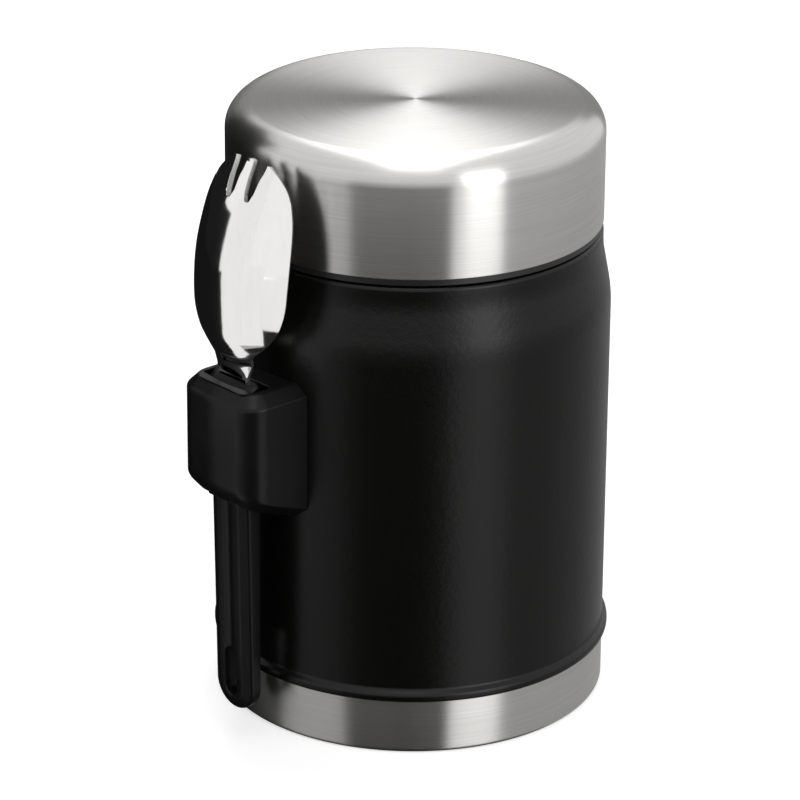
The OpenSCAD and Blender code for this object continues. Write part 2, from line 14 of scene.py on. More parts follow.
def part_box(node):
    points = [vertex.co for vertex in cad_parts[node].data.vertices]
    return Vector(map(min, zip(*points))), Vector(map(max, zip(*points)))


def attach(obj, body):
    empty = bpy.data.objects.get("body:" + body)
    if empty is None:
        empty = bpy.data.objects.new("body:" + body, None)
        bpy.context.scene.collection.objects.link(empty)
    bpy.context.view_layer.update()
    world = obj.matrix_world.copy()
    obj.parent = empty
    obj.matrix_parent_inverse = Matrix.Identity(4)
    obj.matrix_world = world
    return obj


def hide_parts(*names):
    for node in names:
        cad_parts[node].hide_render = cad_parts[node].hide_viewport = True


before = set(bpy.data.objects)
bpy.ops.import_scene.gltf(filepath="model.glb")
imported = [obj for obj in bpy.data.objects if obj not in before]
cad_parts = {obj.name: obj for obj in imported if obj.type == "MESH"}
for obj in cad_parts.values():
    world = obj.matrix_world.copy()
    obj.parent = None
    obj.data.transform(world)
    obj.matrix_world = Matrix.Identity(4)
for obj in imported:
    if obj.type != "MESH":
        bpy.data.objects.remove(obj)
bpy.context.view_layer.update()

MM = 0.001


def node_box(node):
    """Lowest and highest corner of a CAD node in millimetres."""
    low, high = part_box(node)
    return low / MM, high / MM


# --- Sizes in millimetres, taken from the frame where it has them ---

# The coated shell, from its foot up
SHELL_LOW, SHELL_HIGH = node_box("outer_shell")
BODY_R = node_box("base_cup")[1].x
BODY_H = SHELL_HIGH.z
BAND_H = SHELL_LOW.z
SHELL_WALL = 1.0
BEAD_H = 1.8
BEAD_R = SHELL_HIGH.x
BEAD_OUT = BEAD_R - BODY_R
BEAD_FOOT_R, BEAD_TOP_R = 0.9, 1.3
SHOULDER_H = 11.1
SHOULDER_R, SHOULDER_TOP_R = 34.0, 24.0
LEDGE_BAND_H = 4.6
LEDGE_HOLE_R = 38.5

# The bare base: its recess, its band and the cup that laps into the shell
BASE_WALL = 0.8
BASE_EDGE_R, BASE_INNER_R = 1.2, 0.3
BASE_RECESS = 2.5
RECESS_R, RECESS_EDGE_R = 39.0, 0.4
RECESS_SLOPE_W = 2.0
BAND_EDGE_R = 0.25
CUP_R, CUP_LAP = 44.15, 4.0

# The lid's cap, which is as wide as the ledge under it
LID_LOW, LID_HIGH = node_box("lid_shell")
LEDGE_R = LID_HIGH.x
LID_WALL = 0.8
LID_EDGE_R, LID_FOOT_R = 6.4, 0.2

# The holder, which is bowed across its front, and whose foot rises outwards
HOLDER_LOW, HOLDER_HIGH = node_box("spork_holder")
HOLDER_HALF = HOLDER_HIGH.x
HOLDER_FRONT = -HOLDER_LOW.y
HOLDER_TOP = HOLDER_HIGH.z
HOLDER_H = 32.5
HOLDER_FOOT = HOLDER_TOP - HOLDER_H
HOLDER_GAP = 0.1
HOLDER_BACK = BODY_R + HOLDER_GAP
HOLDER_BOW = 1.0
HOLDER_CORNER_R, HOLDER_LEAST_R = 6.0, 0.5
HOLDER_SIDES_FROM = 40
FOOT_RISE = math.tan(math.radians(20))
# Corners of the holder's edges: how far in from its outline, how far from its end, and the radius.
# The edge is soft across the front and crisp at the sides.
TOP_SOFT = [(0, 6, 0), (0, 2.8, 2.6), (2.8, 0, 3.0), (6, 0, 0)]
TOP_CRISP = [(0, 6, 0), (0, 2.8, 0.6), (2.8, 0, 1.2), (6, 0, 0)]
FOOT_SOFT = [(0, 8, 0), (0, 2.9, 4.6), (3.5, 0, 2.6), (7, 0, 0)]
FOOT_CRISP = [(0, 8, 0), (0, 2.9, 0.9), (3.5, 0, 1.0), (7, 0, 0)]
PROFILE_END = (20, 20, 0)

# The slot in the holder and the stem that runs in it: half width, back and front from the axis,
# and the radius of the slot's front corners
SLOT_HALF, SLOT_BACK, SLOT_FRONT, SLOT_R = 8.5, 50.5, 57.8, 2.5
SLOT_EDGE_R, SLOT_EDGE_TURNS = 0.35, (0, 30, 60, 90)
STEM_HALF, STEM_BACK, STEM_FRONT = 6.3, 51.7, 56.9
STEP_UP = 6
STEP_Z = HOLDER_FOOT + STEP_UP
RUN_GAP = 0.4

# The handle: its front leans in towards its foot, and has a groove and a slot to hang it by
HANDLE_LOW, HANDLE_HIGH = node_box("spork_handle")
HANDLE_FOOT = HANDLE_LOW.z
HANDLE_OVER_STEP = 3
HANDLE_TOP = STEP_Z + HANDLE_OVER_STEP
SPLIT_Z = 26.0
# Corners of its edge: how far in from its outline, how far behind its front, and the radius
HANDLE_PROFILE = [(0, 7, 0), (0, 1.2, 0.9), (2.4, 0, 1.6), (3, 0, 0)]
HANDLE_TURN_STEPS = 24
BACK_EDGE = 0.3
GROOVE_HALF, GROOVE_DEPTH, GROOVE_CELLS = 1.6, 0.4, 5
BESIDE_GROOVE = 9
HANG_HALF, HANG_LEN, HANG_UP = 1.9, 11.7, 3.8
HANG_EDGE, HANG_STEPS = 0.35, 12
# The middle of the rounded edge of the slot: how far out and how far raised, as shares of the edge
HANG_MID_OUT, HANG_MID_RAISED = 0.3, 0.4

# The crown on the handle's stem
CROWN_Z = HANDLE_HIGH.z
CROWN_HALF = HANDLE_HIGH.x
CROWN_EDGE_R, CROWN_EDGE_TURN = 1.6, 15
CROWN_BACK_R, CROWN_LEAST_BACK_R = 1.6, 0.2
CROWN_FRONT_R, CROWN_LEAST_FRONT_R = 2.2, 0.3
CROWN_DROP, CROWN_DROP_FROM = 2.4, 0.6
HANDLE_TAPER = 1.5
HANDLE_LEAN = HANDLE_TAPER / (CROWN_Z - HANDLE_FOOT)

# The spork's sheet: its tang, its neck and its head
SHEET_T, SHEET_EDGE = 1.2, 0.16
TANG_IN = 2.6
TANG_OUT = STEM_BACK + TANG_IN
TANG_HALF, TANG_LEN = 4.5, 49.5
NECK_GAP = 0.1
NECK_Z = CROWN_Z + NECK_GAP
HEAD_H, HEAD_HALF = 49.5, 15.6
HEAD_BULGE, HEAD_LEAN, BULGE_POWER = 6.1, 7.0, 2.2
TIP_UP, TIP_ROUND = 0.5, 0.35
# Shares of the head's height, half width, lean and bulge, from the neck to the tips
HEAD_ROWS = [
    (0.000, 0.30, 0.00, 0.00), (0.070, 0.40, 0.03, 0.20), (0.098, 0.43, -0.03, 0.30),
    (0.130, 0.50, -0.07, 0.39), (0.190, 0.71, -0.02, 0.59), (0.255, 0.88, 0.11, 0.77),
    (0.320, 0.96, 0.21, 0.89), (0.390, 1.00, 0.29, 0.97), (0.480, 1.01, 0.36, 1.00),
    (0.580, 1.00, 0.47, 0.98), (0.700, 0.96, 0.65, 0.90), (0.780, 0.91, 0.77, 0.82),
    (0.850, 0.83, 0.87, 0.69), (0.865, 0.80, 0.89, 0.65), (0.896, 0.74, 0.91, 0.56),
    (0.930, 0.64, 0.91, 0.43), (0.962, 0.51, 0.90, 0.25), (0.990, 0.37, 0.88, 0.10)]
# The sides of the slots between the tines: shares of the head's half width over the last rows,
# and of a row's own half width below them
TINE_ROWS = [(0.135, 0.26), (0.115, 0.275), (0.105, 0.29), (0.095, 0.305), (0.08, 0.325),
             (0.07, 0.335)]
BELOW_SLOT = (0.15, 0.30)
ROW_STEPS = 5
# How far below the slots' foot the round of their floors pulls the grid
FLOOR_REACH = 4.0
# Cells of the grid from the middle out: to a slot, across it, and to the side
MID_CELLS, SLOT_CELLS, SIDE_CELLS = 4, 6, 12

ROUND = 288
CORNER_STEPS = 14


# --- Outlines ---

def round_corner(a, b, c, radius):
    """The points of a round corner at b, on the way from a to c."""
    if not radius:
        return [b]
    u, w = (a - b).normalized(), (c - b).normalized()
    half = math.acos(max(-1.0, min(1.0, u.dot(w)))) / 2
    centre = b + (u + w).normalized() * radius / math.sin(half)
    start, end = b + u * radius / math.tan(half) - centre, b + w * radius / math.tan(half) - centre
    angle = math.atan2(start.y, start.x)
    turn = (math.atan2(end.y, end.x) - angle + math.pi) % math.tau - math.pi
    return [centre + radius * Vector((math.cos(angle + turn * i / CORNER_STEPS),
                                      math.sin(angle + turn * i / CORNER_STEPS)))
            for i in range(CORNER_STEPS + 1)]


def outline(corners):
    """A closed outline from corners (x, y, radius)."""
    points = [Vector(c[:2]) for c in corners]
    n = len(points)
    return [p for i in range(n)
            for p in round_corner(points[i - 1], points[i], points[(i + 1) % n], corners[i][2])]


def profile(corners):
    """An open run of points from corners (inset, distance from the end, radius)."""
    return outline(corners + [PROFILE_END])[1:-2]


def rounded_box(half, back, front, radius_back, radius_front):
    """A rounded outline in plan, seen from above."""
    return outline([(-half, -back, radius_back), (-half, -front, radius_front),
                    (half, -front, radius_front), (half, -back, radius_back)])


def smooth_steps(rows, steps):
    """Rows of numbers with more rows put between them on a smooth curve."""
    out = []
    last = len(rows) - 1
    for i in range(last):
        a, b, c, d = (rows[max(0, min(last, i + k))] for k in (-1, 0, 1, 2))
        for step in range(steps):
            t = step / steps
            out.append(tuple(
                q + t / 2 * (r - p + t * (2 * p - 5 * q + 4 * r - e + t * (3 * (q - r) + e - p)))
                for p, q, r, e in zip(a, b, c, d)))
    return out + [tuple(rows[last])]


# --- Meshes ---

def mesh_from(name, bm):
    """A mesh made from a bmesh, which is freed."""
    mesh = bpy.data.meshes.new(name)
    bm.to_mesh(mesh)
    bm.free()
    return mesh


def linked(name, data):
    """A new object in the scene."""
    thing = bpy.data.objects.new(name, data)
    bpy.context.scene.collection.objects.link(thing)
    return thing


def piece_from(name, bm, materials, body, nodes, sharp=30):
    """Links a mesh, made in millimetres, as a piece that rides on a body and stands for nodes."""
    bmesh.ops.remove_doubles(bm, verts=bm.verts, dist=1e-4)
    bmesh.ops.recalc_face_normals(bm, faces=bm.faces)
    bmesh.ops.scale(bm, vec=Vector((MM, MM, MM)), verts=bm.verts)
    mesh = mesh_from(name, bm)
    for material in materials:
        mesh.materials.append(material)
    mesh.shade_smooth()
    mesh.set_sharp_from_angle(angle=math.radians(sharp))
    piece = linked(name, mesh)
    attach(piece, body)
    if nodes:
        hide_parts(*nodes)
    return piece


def weigh(piece):
    """Gives a piece smooth shading that follows its larger faces."""
    piece.modifiers.new("weighted", "WEIGHTED_NORMAL").keep_sharp = True


def lathe(corners):
    """A closed solid of revolution from corners (radius, height, corner radius)."""
    bm = bmesh.new()
    rings = []
    for p in outline(corners):
        if p.x < 1e-6:
            rings.append(ring(bm, [(0, 0, p.y)]))
        else:
            rings.append(ring(bm, [(p.x * math.cos(math.tau * i / ROUND),
                                    p.x * math.sin(math.tau * i / ROUND), p.y)
                                   for i in range(ROUND)]))
    for k, low in enumerate(rings):
        high = rings[(k + 1) % len(rings)]
        if len(low) == 1 and len(high) == 1:
            continue
        for i in range(ROUND):
            j = (i + 1) % ROUND
            quad = [low[i % len(low)], low[j % len(low)], high[j % len(high)], high[i % len(high)]]
            bm.faces.new(dict.fromkeys(quad))
    return bm


def ring(bm, points):
    """New vertices at points."""
    return [bm.verts.new(p) for p in points]


def loft(bm, rings, closed=True):
    """Quads between rings of equal length."""
    for low, high in zip(rings, rings[1:]):
        n = len(low)
        for i in range(n if closed else n - 1):
            j = (i + 1) % n
            bm.faces.new((low[i], low[j], high[j], high[i]))


def fill(bm, loops):
    """Triangles over a nearly flat area between closed loops."""
    edges = []
    for loop in loops:
        for a, b in zip(loop, loop[1:] + loop[:1]):
            edges.append(bm.edges.get((a, b)) or bm.edges.new((a, b)))
    bmesh.ops.triangle_fill(bm, use_beauty=True, edges=edges)


# --- Shader nodes ---

WHITE = (1, 1, 1, 1)


def add(tree, kind, inputs=None, **settings):
    """A shader node with its settings and inputs, which are values or other nodes' outputs."""
    node = tree.nodes.new(kind)
    for key, value in settings.items():
        setattr(node, key, value)
    for key, value in (inputs or {}).items():
        if isinstance(value, bpy.types.NodeSocket):
            tree.links.new(value, node.inputs[key])
        else:
            node.inputs[key].default_value = value
    return node


def math_node(tree, operation, a, b):
    """The outcome of a sum on two values."""
    return add(tree, "ShaderNodeMath", {0: a, 1: b}, operation=operation).outputs[0]


def vector_node(tree, operation, inputs, output=0):
    """The outcome of a sum on vectors."""
    return add(tree, "ShaderNodeVectorMath", inputs, operation=operation).outputs[output]


def between(tree, factor, low, high):
    """A value that goes from low to high as the factor goes from 0 to 1."""
    inputs = {"Value": factor, "To Min": low, "To Max": high}
    return add(tree, "ShaderNodeMapRange", inputs).outputs[0]


def tinted(tree, factor, low, high):
    """A colour that goes from low to high as the factor goes from 0 to 1."""
    mix = add(tree, "ShaderNodeMix", {"Factor": factor}, data_type="RGBA")
    mix.inputs["A"].default_value = (*low, 1)
    mix.inputs["B"].default_value = (*high, 1)
    return mix.outputs["Result"]


def place(tree):
    """Where a point lies on its object, in metres."""
    return add(tree, "ShaderNodeTexCoord").outputs["Object"]


def noise(tree, vector, scale, detail=2.0, roughness=0.5):
    """Cloudy noise between 0 and 1."""
    inputs = {"Vector": vector, "Scale": scale, "Detail": detail, "Roughness": roughness}
    return add(tree, "ShaderNodeTexNoise", inputs).outputs["Fac"]


def ring_marks(tree, across, along):
    """Noise that runs round the jar's axis: fine across the rings and slow along them."""
    xyz = add(tree, "ShaderNodeSeparateXYZ", {0: place(tree)})
    flat = add(tree, "ShaderNodeCombineXYZ", {0: xyz.outputs[0], 1: xyz.outputs[1]}).outputs[0]
    out = vector_node(tree, "LENGTH", {0: flat}, "Value")
    unit = vector_node(tree, "NORMALIZE", {0: flat})
    round_it = vector_node(tree, "SCALE", {0: unit, "Scale": along})
    down_and_out = math_node(tree, "SUBTRACT", out, xyz.outputs[2])
    reach = math_node(tree, "MULTIPLY", down_and_out, across)
    up = add(tree, "ShaderNodeCombineXYZ", {2: reach}).outputs[0]
    where = vector_node(tree, "ADD", {0: round_it, 1: up})
    return noise(tree, where, scale=1.0, detail=2.0, roughness=0.6)


# --- Materials: lengths in metres, noise scales per metre ---

def start(name, **values):
    """A material with a principled shader and its node tree."""
    material = bpy.data.materials.new(name)
    material.use_nodes = True
    tree = material.node_tree
    shader = tree.nodes["Principled BSDF"]
    for key, value in values.items():
        shader.inputs[key.replace("_", " ")].default_value = value
    return material, tree, shader


def dress(tree, shader, colour, height, depth, gloss=None):
    """Links a colour, a bump of some depth and perhaps a roughness to a principled shader."""
    tree.links.new(colour, shader.inputs["Base Color"])
    if gloss:
        tree.links.new(gloss, shader.inputs["Roughness"])
    relief = add(tree, "ShaderNodeBump", {"Height": height, "Distance": depth})
    tree.links.new(relief.outputs[0], shader.inputs["Normal"])


def moulded(name, low, high, roughness, grain_scale, grain_depth, **values):
    """A moulded, plated or cut skin: a fine grain, a slow change of colour and an uneven gloss."""
    material, tree, shader = start(name, **values)
    where = place(tree)
    grain = noise(tree, where, grain_scale, detail=3.0, roughness=0.6)
    slow = noise(tree, where, scale=90.0, detail=3.0)
    gloss = between(tree, slow, roughness - 0.04, roughness + 0.04)
    dress(tree, shader, tinted(tree, slow, low, high), grain, grain_depth, gloss)
    return material


def brushed(name, low, high, roughness, anisotropy):
    """Steel brushed in circles round the jar's axis."""
    material, tree, shader = start(name, Metallic=1.0, Roughness=roughness,
                                   Anisotropic=anisotropy, Anisotropic_Rotation=0.25)
    marks = ring_marks(tree, across=5200.0, along=1.6)
    dress(tree, shader, tinted(tree, marks, low, high), marks, 0.0000004)
    tangent = add(tree, "ShaderNodeTangent", direction_type="RADIAL", axis="Z")
    tree.links.new(tangent.outputs[0], shader.inputs["Tangent"])
    return material


def coating():
    """Black powder coat: a fine hammered skin."""
    material, tree, shader = start("black_powder_coat", Specular_IOR_Level=0.27)
    where = place(tree)
    grain = noise(tree, where, scale=2300.0, detail=2.0, roughness=0.55)
    orange = noise(tree, where, scale=620.0, detail=1.0)
    slow = noise(tree, where, scale=45.0)
    colour = tinted(tree, grain, (0.0018, 0.0016, 0.0014), (0.0040, 0.0036, 0.0032))
    height = math_node(tree, "ADD", grain, math_node(tree, "MULTIPLY", orange, 1.5))
    dress(tree, shader, colour, height, 0.000022, between(tree, slow, 0.29, 0.34))
    return material


def polished():
    """Polished steel with faint marks along its length."""
    material, tree, shader = start("mirror_steel", Metallic=1.0)
    stretch = add(tree, "ShaderNodeMapping",
                  {"Vector": place(tree), "Scale": (900.0, 900.0, 60.0)})
    marks = noise(tree, stretch.outputs[0], scale=1.0, detail=3.0, roughness=0.6)
    colour = tinted(tree, marks, (0.80, 0.79, 0.775), (0.87, 0.862, 0.85))
    dress(tree, shader, colour, marks, 0.000002, between(tree, marks, 0.05, 0.12))
    return material


def foil():
    """Thin copper foil with small creases."""
    material, tree, shader = start("copper_wrap", Metallic=1.0)
    creases = noise(tree, place(tree), scale=160.0, detail=4.0, roughness=0.7)
    colour = tinted(tree, creases, (0.70, 0.36, 0.20), (0.90, 0.52, 0.33))
    dress(tree, shader, colour, creases, 0.0002, between(tree, creases, 0.18, 0.34))
    return material


def foam():
    """Closed cells of rigid foam."""
    material, tree, shader = start("foam_cells")
    cells = add(tree, "ShaderNodeTexVoronoi",
                {"Vector": place(tree), "Scale": 900.0}).outputs["Distance"]
    colour = tinted(tree, cells, (0.62, 0.56, 0.40), (0.80, 0.75, 0.60))
    dress(tree, shader, colour, cells, 0.0003, between(tree, cells, 0.75, 0.95))
    return material


COATING = coating()
LID_STEEL = brushed("brushed_lid_steel", (0.475, 0.467, 0.453), (0.685, 0.677, 0.659),
                    roughness=0.28, anisotropy=0.88)
INNER_STEEL = brushed("spun_inner_steel", (0.56, 0.555, 0.545), (0.68, 0.675, 0.665),
                      roughness=0.27, anisotropy=0.45)
ZINC = moulded("zinc_plate", (0.44, 0.44, 0.43), (0.58, 0.58, 0.57), roughness=0.34,
               grain_scale=900.0, grain_depth=0.00001, Metallic=1.0)
GETTER = moulded("sintered_getter", (0.10, 0.095, 0.09), (0.16, 0.15, 0.145), roughness=0.75,
                 grain_scale=1500.0, grain_depth=0.00005, Metallic=0.4)
PLASTIC = moulded("black_moulding", (0.0032, 0.0032, 0.0035), (0.0056, 0.0056, 0.0060),
                  roughness=0.35, grain_scale=2600.0, grain_depth=0.000016,
                  Specular_IOR_Level=0.20)
LINER = moulded("liner_moulding", (0.010, 0.010, 0.010), (0.014, 0.014, 0.014), roughness=0.36,
                grain_scale=1500.0, grain_depth=0.00001)
RUBBER = moulded("grey_silicone", (0.20, 0.20, 0.20), (0.25, 0.25, 0.25), roughness=0.62,
                 grain_scale=1800.0, grain_depth=0.00002)
GRIP = moulded("grip_rubber_grain", (0.020, 0.020, 0.021), (0.030, 0.030, 0.032),
               roughness=0.72, grain_scale=2200.0, grain_depth=0.00003)
POLISHED = polished()
CUT = moulded("cut_steel", (0.30, 0.30, 0.30), (0.62, 0.62, 0.61), roughness=0.42,
              grain_scale=1400.0, grain_depth=0.00003, Metallic=1.0)

FINISH = {
    "outer_shell": COATING, "base_cup": LID_STEEL, "lid_shell": LID_STEEL,
    "vacuum_base": INNER_STEEL, "inner_vessel": INNER_STEEL, "neck_ring": INNER_STEEL,
    "holder_bracket": INNER_STEEL, "vacuum_seal": ZINC, "getter_clip": ZINC, "holder_screws": ZINC,
    "getter_pill": GETTER, "heat_foil": foil(), "lid_gasket": RUBBER, "lid_liner": LINER,
    "plug_cover": LINER, "lid_foam": foam(), "spork_holder": PLASTIC, "spork_handle": PLASTIC,
    "holder_grips": GRIP, "spork_head": POLISHED}
for name, finish in FINISH.items():
    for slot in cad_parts[name].material_slots:
        slot.material = finish


# --- Turned steel pieces ---

LEDGE_FOOT = BODY_H - LEDGE_BAND_H
SHOULDER_FOOT = LEDGE_FOOT - SHOULDER_H
piece_from("coated_shell", lathe([
    (BODY_R - SHELL_WALL, BAND_H, 0), (BEAD_R, BAND_H, BEAD_FOOT_R),
    (BEAD_R, BAND_H + BEAD_H, BEAD_TOP_R), (BODY_R, BAND_H + BEAD_H + BEAD_OUT, BEAD_OUT),
    (BODY_R, SHOULDER_FOOT, SHOULDER_R), (LEDGE_R, LEDGE_FOOT, SHOULDER_TOP_R),
    (LEDGE_R, BODY_H, SHELL_WALL), (LEDGE_HOLE_R, BODY_H, 0),
    (LEDGE_HOLE_R, BODY_H - SHELL_WALL, 0), (LEDGE_R - SHELL_WALL, BODY_H - SHELL_WALL, 0),
    (LEDGE_R - SHELL_WALL, LEDGE_FOOT, SHOULDER_TOP_R),
    (BODY_R - SHELL_WALL, SHOULDER_FOOT, SHOULDER_R)]),
    [COATING], "jar", ["outer_shell"])

piece_from("bare_base", lathe([
    (0, BASE_RECESS, 0), (RECESS_R - RECESS_SLOPE_W, BASE_RECESS, 0), (RECESS_R, 0, RECESS_EDGE_R),
    (BODY_R, 0, BASE_EDGE_R), (BODY_R, BAND_H, BAND_EDGE_R), (CUP_R, BAND_H, 0),
    (CUP_R, BAND_H + CUP_LAP, 0), (CUP_R - BASE_WALL, BAND_H + CUP_LAP, 0),
    (CUP_R - BASE_WALL, BAND_H - BASE_WALL, 0), (BODY_R - BASE_WALL, BAND_H - BASE_WALL, 0),
    (BODY_R - BASE_WALL, BASE_WALL, BASE_INNER_R), (RECESS_R, BASE_WALL, 0),
    (RECESS_R - RECESS_SLOPE_W, BASE_RECESS + BASE_WALL, 0), (0, BASE_RECESS + BASE_WALL, 0)]),
    [LID_STEEL], "jar", ["base_cup"])

piece_from("brushed_cap", lathe([
    (LEDGE_R - LID_WALL, LID_LOW.z, 0), (LEDGE_R, LID_LOW.z, LID_FOOT_R),
    (LEDGE_R, LID_HIGH.z, LID_EDGE_R), (0, LID_HIGH.z, 0), (0, LID_HIGH.z - LID_WALL, 0),
    (LEDGE_R - LID_WALL, LID_HIGH.z - LID_WALL, LID_EDGE_R - LID_WALL)]),
    [LID_STEEL], "lid", ["lid_shell"])


# --- Holder ---

def holder_plan(inset):
    """The holder's outline seen from above, drawn in by an inset on its sides and front."""
    half, front = HOLDER_HALF - inset, HOLDER_FRONT - inset
    radius = max(HOLDER_LEAST_R, HOLDER_CORNER_R - inset)
    sides = outline([
        (-half, -HOLDER_SIDES_FROM, 0), (-half, HOLDER_BOW - front, radius),
        (0, -front, 2 * HOLDER_HALF),
        (half, HOLDER_BOW - front, radius), (half, -HOLDER_SIDES_FROM, 0)])[1:-1]
    arc = [half * (1 - 2 * i / CORNER_STEPS) for i in range(CORNER_STEPS + 1)]
    return sides + [Vector((x, -math.sqrt(HOLDER_BACK ** 2 - x * x))) for x in arc]


def softness():
    """How soft each point of the holder's outline is: none on its sides, full across its front."""
    turn = [i / CORNER_STEPS for i in range(CORNER_STEPS + 1)]
    return turn + [1.0] * len(turn) + turn[::-1] + [0.0] * len(turn)


def foot_plane(point):
    """The height of the holder's sloping foot at a point of its plan."""
    return HOLDER_FOOT + (-point.y - BODY_R) * FOOT_RISE


def holder_rings(bm, crisp, soft, height):
    """Rings whose edge goes from a crisp profile at the sides to a soft one across the front."""
    rings = []
    for a, b in zip(profile(crisp), profile(soft)):
        plans = holder_plan(a.x), holder_plan(b.x)
        rings.append(ring(bm, [height(p.lerp(q, w), a.y + (b.y - a.y) * w)
                               for p, q, w in zip(*plans, softness())]))
    return rings


bm = bmesh.new()
rings = holder_rings(bm, FOOT_CRISP, FOOT_SOFT, lambda p, up: (p.x, p.y, foot_plane(p) + up))[::-1]
rings += holder_rings(bm, TOP_CRISP, TOP_SOFT, lambda p, down: (p.x, p.y, HOLDER_TOP - down))
loft(bm, rings)
slot_rings = []
for degrees in SLOT_EDGE_TURNS:
    out = SLOT_EDGE_R * (1 - math.sin(math.radians(degrees)))
    down = SLOT_EDGE_R * (1 - math.cos(math.radians(degrees)))
    plan = rounded_box(SLOT_HALF + out, SLOT_BACK - out, SLOT_FRONT + out,
                       SLOT_R / 2 + out, SLOT_R + out)
    slot_rings.append(ring(bm, [(q.x, q.y, HOLDER_TOP - down) for q in plan]))
plan = rounded_box(SLOT_HALF, SLOT_BACK, SLOT_FRONT, SLOT_R / 2, SLOT_R)
slot_rings.append(ring(bm, [(q.x, q.y, STEP_Z) for q in plan]))
loft(bm, slot_rings)
plan = rounded_box(STEM_HALF + RUN_GAP, STEM_BACK - RUN_GAP, STEM_FRONT + RUN_GAP,
                   SLOT_R / 2, SLOT_R)
low_rings = [ring(bm, [(q.x, q.y, STEP_Z) for q in plan]),
             ring(bm, [(q.x, q.y, foot_plane(q)) for q in plan])]
loft(bm, low_rings)
fill(bm, [rings[-1], slot_rings[0]])
fill(bm, [slot_rings[-1], low_rings[0]])
fill(bm, [low_rings[-1], rings[0]])
weigh(piece_from("moulded_holder", bm, [PLASTIC], "jar", ["spork_holder"], 50))


# --- Handle ---

def handle_front(x, z):
    """The front face's distance out, with its lean and its groove."""
    out = STEM_FRONT - HANDLE_LEAN * (CROWN_Z - z)
    if abs(x) < GROOVE_HALF and z > HANDLE_FOOT + HANG_UP + HANG_LEN / 2:
        out -= GROOVE_DEPTH * (1 - (x / GROOVE_HALF) ** 2)
    return out


def handle_path(inset, stations):
    """The handle's outline from the front, drawn in by an inset: down its left, round, and up."""
    half = STEM_HALF - inset
    centre = HANDLE_FOOT + STEM_HALF
    angles = [math.pi * i / HANDLE_TURN_STEPS for i in range(1, HANDLE_TURN_STEPS)]
    turn = [(-half * math.cos(a), centre - half * math.sin(a)) for a in angles]
    return [(-half, z) for z in stations] + turn + [(half, z) for z in reversed(stations)]


def hang_ring(bm, grow, back):
    """The hanging slot's outline, grown, on the handle's front or back."""
    radius = HANG_HALF + grow
    low = HANDLE_FOOT + HANG_UP + HANG_HALF
    high = HANDLE_FOOT + HANG_UP + HANG_LEN - HANG_HALF
    angles = [math.pi * i / HANG_STEPS for i in range(HANG_STEPS + 1)]
    flat = [(radius * math.cos(a), high + radius * math.sin(a)) for a in angles]
    flat += [(-radius * math.cos(a), low - radius * math.sin(a)) for a in angles]
    if back:
        return ring(bm, [(x, -STEM_BACK, z) for x, z in flat])
    sink = HANG_EDGE - grow
    return ring(bm, [(x, sink - handle_front(x, z), z) for x, z in flat])


bm = bmesh.new()
top_rows = [HANDLE_TOP, SPLIT_Z]
stations = top_rows + [HANDLE_FOOT + STEM_HALF]
back_out = -STEM_BACK - BACK_EDGE
rings = [ring(bm, [(x, -STEM_BACK, z) for x, z in handle_path(BACK_EDGE, stations)])]
rings.append(ring(bm, [(x, back_out, z) for x, z in handle_path(0, stations)]))
for p in profile(HANDLE_PROFILE):
    rings.append(ring(bm, [(x, min(back_out, p.y - handle_front(BESIDE_GROOVE, z)), z)
                           for x, z in handle_path(p.x, stations)]))
loft(bm, rings, closed=False)
inner = rings[-1]
left, right = inner[:2], inner[:-3:-1]
grooved = [GROOVE_HALF * (i / GROOVE_CELLS - 1) for i in range(2 * GROOVE_CELLS + 1)]
rows = []
for z, a, b in zip(top_rows, left, right):
    rows.append([a] + ring(bm, [(x, -handle_front(x, z), z) for x in grooved]) + [b])
loft(bm, rows, closed=False)
hole = [hang_ring(bm, HANG_EDGE, False), hang_ring(bm, HANG_EDGE * HANG_MID_OUT, False),
        hang_ring(bm, 0, False), hang_ring(bm, 0, True)]
for v in hole[1]:
    v.co.y -= HANG_MID_RAISED * HANG_EDGE
loft(bm, hole)
fill(bm, [rows[1] + inner[-3:1:-1], hole[0]])
fill(bm, [rings[0], hole[-1]])
weigh(piece_from("moulded_handle", bm, [PLASTIC], "spork", ["spork_handle"], 50))


def crown_plan(inset):
    """The crown's outline seen from above, drawn in by an inset."""
    return rounded_box(CROWN_HALF - inset, STEM_BACK + inset, STEM_FRONT - inset,
                       max(CROWN_LEAST_BACK_R, CROWN_BACK_R - inset),
                       max(CROWN_LEAST_FRONT_R, CROWN_FRONT_R - inset))


bm = bmesh.new()
slope = CROWN_DROP / (STEM_FRONT - TANG_OUT)
rings = [ring(bm, [(q.x, q.y, STEP_Z) for q in crown_plan(0)])]
for degrees in range(0, 91, CROWN_EDGE_TURN):
    inset = CROWN_EDGE_R * (1 - math.cos(math.radians(degrees)))
    top = CROWN_Z - CROWN_EDGE_R * (1 - math.sin(math.radians(degrees)))
    rings.append(ring(bm, [
        (q.x, q.y, top - slope * max(0.0, -q.y - TANG_OUT + CROWN_DROP_FROM))
        for q in crown_plan(inset)]))
loft(bm, rings)
fill(bm, [rings[0]])
fill(bm, [rings[-1]])
piece_from("handle_crown", bm, [PLASTIC], "spork", [], 60)


# --- Head of the spork ---

head_rows = smooth_steps(HEAD_ROWS, ROW_STEPS)
tines = smooth_steps(TINE_ROWS, ROW_STEPS)
slot_from = (len(HEAD_ROWS) - len(TINE_ROWS)) * ROW_STEPS
middle = MID_CELLS + SLOT_CELLS + SIDE_CELLS


